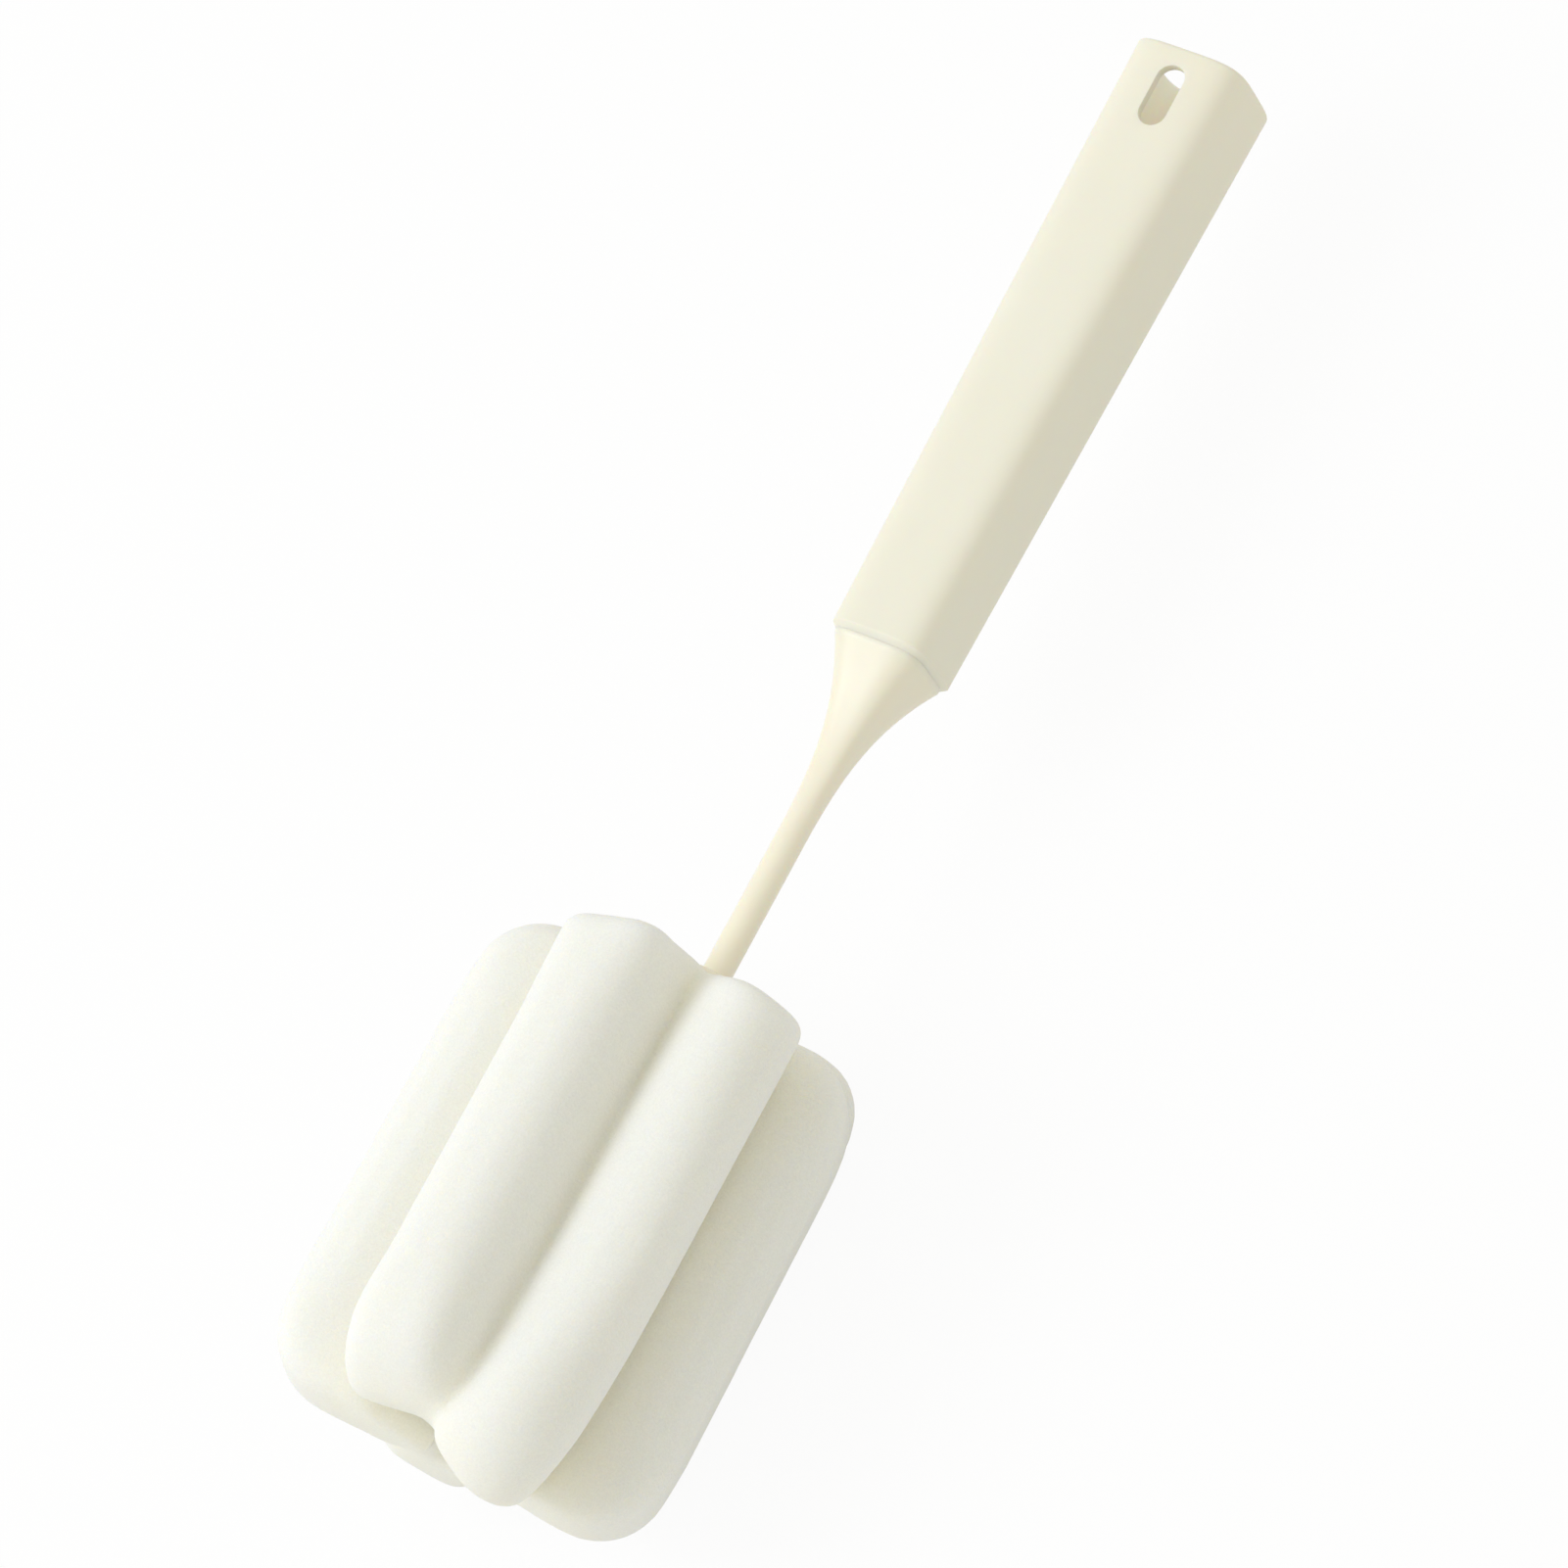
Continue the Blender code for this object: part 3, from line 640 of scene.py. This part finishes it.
# %% [markdown]
# ### How squeezed foam swells
#
# Foam that is pinched in one place bulges beside it. Cloth with a pressure inside does just that to a closed
# net: the points near the fork are held, and the rest swell for a few frames. No point may move further than
# the limit, nor more than a third of the way to its neighbour, so that the petals never run into each other
# or into the fork.

# %% The swelling
HELD_WITHIN = 0.013
SWELL_LIMIT = 0.0007
SWELL_RELAXING = 2
PRESSURE = 25
FRAMES = 12


def swelled(bm, name):
    """How far each point of the net moves in a short run of Cloth with pressure."""
    mesh = bpy.data.meshes.new(name)
    bm.to_mesh(mesh)
    made = bpy.data.objects.new(name, mesh)
    bpy.context.scene.collection.objects.link(made)
    held = made.vertex_groups.new(name="held")
    held.add([vert.index for vert in mesh.vertices if vert.co.xy.length < HELD_WITHIN], 1, "REPLACE")
    cloth = made.modifiers.new("swelling", "CLOTH")
    cloth.settings.use_pressure = True
    cloth.settings.uniform_pressure_force = PRESSURE
    cloth.settings.vertex_group_mass = "held"
    cloth.settings.quality = 4
    cloth.settings.effector_weights.gravity = 0
    cloth.point_cache.frame_end = FRAMES
    for count in range(1, FRAMES + 1):
        bpy.context.scene.frame_set(count)
    drawn = made.evaluated_get(bpy.context.evaluated_depsgraph_get())
    moves = [drawn.data.vertices[vert.index].co - vert.co for vert in mesh.vertices]
    bpy.context.scene.frame_set(1)
    bpy.data.objects.remove(made)
    return moves


# %% The room that the neighbours leave
def surface_of(names):
    """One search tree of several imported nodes, in the fork's frame."""
    bm = bmesh.new()
    for name in names:
        bm.from_mesh(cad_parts[name].data)
    bmesh.ops.transform(bm, matrix=CLAMP_TURN.inverted() @ UPRIGHT, verts=bm.verts)
    return BVHTree.FromBMesh(bm)


def swell(bm, name, others):
    """Moves the points of a net as Cloth did, within the room that the neighbours leave."""
    far = 0
    for vert, move in zip(bm.verts, swelled(bm, name)):
        room = SWELL_LIMIT
        for other in others:
            room = min(room, other.find_nearest(vert.co)[3] / 3)
        if move.length > room:
            move = move.normalized() * room
        vert.co += move
        far = max(far, move.length)
    print(name, "swells by up to", round(far * 1000, 2), "mm")


# %% [markdown]
# ### Closing the cleft
#
# Where the two petals of one sheet touch, in front of their tine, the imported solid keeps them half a
# millimetre apart. Real foam leaves no gap there, and light passes from petal to petal. The points beside the
# cleft move a little past it, and those further off move less and less. The petals overlap then, and
# remeshing them together makes one solid of both, with a soft valley between them.
#
# The front right petal leans to the left at its foot, and the cleft leans with it. It is easier to work on an
# upright plane, so the foot is set straight before each such step and leant again after it.

# %% Moves across the cleft
CLEFT_MOVE = 0.0011
CLEFT_FADE = 0.006
SHEET_HEIGHT = 0.1015
PETAL_REACH = 0.0394


def lean_foot(bm, heading, lean):
    """Moves the lower half of a mesh to the right of a heading, most at the foot of the petal's end."""
    for vert in bm.verts:
        out = min(1, max(0, vert.co.dot(direction(heading)) / PETAL_REACH))
        low = min(1, max(0, 1 - 2 * vert.co.z / SHEET_HEIGHT))
        vert.co += direction(heading + 90) * lean * out * low**3


def smooth_step(value, low, high):
    """From 0 at low to 1 at high, without a kink at either end."""
    share = min(1, max(0, (value - low) / (high - low)))
    return share * share * (3 - 2 * share)


def close_cleft(bm, point, towards):
    """Moves a petal's points beside the cleft across it."""
    for vert in bm.verts:
        gap = max(0, (point - vert.co).dot(towards))
        vert.co += towards * CLEFT_MOVE * (1 - smooth_step(gap, 0, CLEFT_FADE))


# %% Where the cleft of a sheet runs
HALF_THICKNESS = 0.011


def cleft_across(first, second, cleft_from, squeezed):
    """The level direction across the cleft between two petals, of which the second may be squeezed."""
    opening = math.radians(second - first)
    turn = math.degrees(math.atan2(math.sin(opening), squeezed + math.cos(opening)))
    parting = HALF_THICKNESS / math.sin(math.radians(turn)) * direction(first + turn)
    along = (parting - cleft_from).normalized()
    return Vector((along.y, -along.x, 0))


# %% Making the three sheets
NEIGHBOURS = {
    "foam_front": ["foam_middle", "neck_stem", "tip_cap"],
    "foam_middle": ["foam_front", "foam_rear", "neck_stem", "tip_cap"],
    "foam_rear": ["foam_middle", "neck_stem", "tip_cap"],
}


def make_sheet(node, pair=None, cleft_from=None, squeezed=1, lean=0):
    """The petals of one sheet as one piece."""
    whole = sheet_copy(node)
    others = [surface_of(NEIGHBOURS[node])]
    petals = [whole]
    if pair:
        first, second = (HEADINGS[name] for name in pair)
        across = cleft_across(first, second, cleft_from, squeezed)
        lean_foot(whole, second, -lean)
        sides = (across, -across)
        petals = [one_side(whole, cleft_from, side) for side in sides]
        for petal in petals:
            lean_foot(petal, second, lean)
    petals = [even_net(petal, node) for petal in petals]
    trees = [BVHTree.FromBMesh(petal) for petal in petals]
    sheet = bmesh.new()
    for count, petal in enumerate(petals):
        swell(petal, node, others + [tree for other, tree in enumerate(trees) if other != count])
        relax(petal, SWELL_RELAXING)
        if pair:
            lean_foot(petal, second, -lean)
            close_cleft(petal, cleft_from, sides[count])
            lean_foot(petal, second, lean)
        mesh = bpy.data.meshes.new("petal")
        petal.to_mesh(mesh)
        sheet.from_mesh(mesh)
        bpy.data.meshes.remove(mesh)
    if pair:
        sheet = even_net(sheet, node)
    bmesh.ops.transform(sheet, matrix=CLAMP_TURN, verts=sheet.verts)
    piece = piece_from(node.replace("foam", "sponge"), sheet, "brush")
    piece.data.materials.append(foam_white)
    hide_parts(node)


# %% [markdown]
# The front right petal's left half is squeezed to 82% of its thickness, which turns the cleft towards it, and
# its foot leans 4.6 mm to the left. The rear petals are even, and the middle sheet's petals have no cleft.

# %% The sheets, front, middle and rear
FRONT_SQUEEZED = 0.82
FRONT_LEAN = -0.00457
FRONT_TINE = Vector((0, -FORK_HALF, 0))
REAR_TINE = Vector((0, FORK_HALF, 0))

make_sheet("foam_front", ("front_left", "front_right"), FRONT_TINE, FRONT_SQUEEZED, FRONT_LEAN)
make_sheet("foam_middle")
make_sheet("foam_rear", ("rear_right", "rear_left"), REAR_TINE)

# %% [markdown]
# ## Camera
#
# The brush was photographed from far away with a long lens, from a little below its middle and a little to
# the side of its slotted face, and stands in the picture with a lean of 28.6 degrees. Those angles, and the
# distance, are set here as numbers, and the rest follows. The lens is given in the picture's pixels.

# %% The camera
PICTURE = 1601
FOCAL = 11828
SENSOR = 36
DISTANCE = 2.2
CLIP_END = 20
AIM_ALONG = 0.1454
AIM_ASIDE_PIXELS = 32.6
below = math.radians(14)
aside = math.radians(28)
lean = math.radians(28.6)

out = Vector((0, -math.sin(aside), math.cos(aside)))
right = Vector((0, -math.cos(aside), -math.sin(aside)))
along = Vector((1, 0, 0))
back = math.cos(below) * out - math.sin(below) * along
up = math.cos(below) * along + math.sin(below) * out
image_right = math.cos(lean) * right + math.sin(lean) * up
image_up = -math.sin(lean) * right + math.cos(lean) * up
target = axis_point + AIM_ALONG * along - right * AIM_ASIDE_PIXELS * DISTANCE / FOCAL
eye = target + DISTANCE * back

lens = bpy.data.cameras.new("camera")
lens.sensor_width = SENSOR
lens.lens = FOCAL / PICTURE * SENSOR
lens.clip_end = CLIP_END
camera = bpy.data.objects.new("camera", lens)
camera.matrix_world = Matrix.Translation(eye) @ Matrix((image_right, image_up, back)).transposed().to_4x4()
bpy.context.scene.collection.objects.link(camera)
bpy.context.scene.camera = camera
print("camera at", [round(value, 3) for value in eye], "lens", round(lens.lens, 1), "mm")

# %% [markdown]
# ## Studio
#
# The picture has a plain white ground. The floor shows the camera mostly its own white, and keeps enough of
# its real shading for the brush's shadow. One wide lamp at the upper left is the key, and a pale, slightly
# warmer world fills the shadows.

# %% Floor
FLOOR_REACH = 3
PLAIN_SHARE = 0.93

bm = bmesh.new()
bmesh.ops.create_grid(bm, x_segments=1, y_segments=1, size=FLOOR_REACH)
floor_mesh = bpy.data.meshes.new("floor")
bm.to_mesh(floor_mesh)
bm.free()
floor = bpy.data.objects.new("floor", floor_mesh)
bpy.context.scene.collection.objects.link(floor)

paper, tree = new_material("white_paper_ground")
paths = add_node(tree, "LightPath", {})
seen = paths.outputs["Is Camera Ray"]
for other in ("Is Glossy Ray", "Is Transmission Ray"):
    either = add_node(tree, "Math", {0: seen, 1: paths.outputs[other]}, operation="MAXIMUM")
    seen = either.outputs["Value"]
share = add_node(tree, "Math", {0: seen, 1: PLAIN_SHARE}, operation="MULTIPLY")
lit = add_node(tree, "BsdfDiffuse", {"Color": linear("#F4F4F2")})
glow = add_node(tree, "Emission", {"Color": (1, 1, 1, 1), "Strength": 1.0})
shaders = {0: share.outputs["Value"], 1: lit.outputs["BSDF"], 2: glow.outputs["Emission"]}
both = add_node(tree, "MixShader", shaders)
add_node(tree, "OutputMaterial", {"Surface": both.outputs["Shader"]})
floor_mesh.materials.append(paper)

# %% Light
WORLD_TINT = (1.0, 0.98, 0.9, 1)
WORLD_STRENGTH = 0.69

world = bpy.data.worlds.new("studio")
world.use_nodes = True
background = world.node_tree.nodes["Background"]
background.inputs["Color"].default_value = WORLD_TINT
background.inputs["Strength"].default_value = WORLD_STRENGTH
bpy.context.scene.world = world


def add_lamp(name, towards, distance, size, watts, colour):
    """A square lamp that looks at the middle of the brush from a direction."""
    light = bpy.data.lights.new(name, "AREA")
    light.shape = "SQUARE"
    light.size = size
    light.energy = watts
    light.color = colour
    lamp = bpy.data.objects.new(name, light)
    towards = Vector(towards).normalized()
    turned = towards.to_track_quat("Z", "Y").to_matrix().to_4x4()
    lamp.matrix_world = Matrix.Translation(towards * distance) @ turned
    bpy.context.scene.collection.objects.link(lamp)


add_lamp("key", towards=(-0.30, 0.55, 0.80), distance=1.6, size=0.8, watts=10.8, colour=(0.88, 0.92, 1.0))

bpy.context.scene.view_settings.view_transform = "Standard"
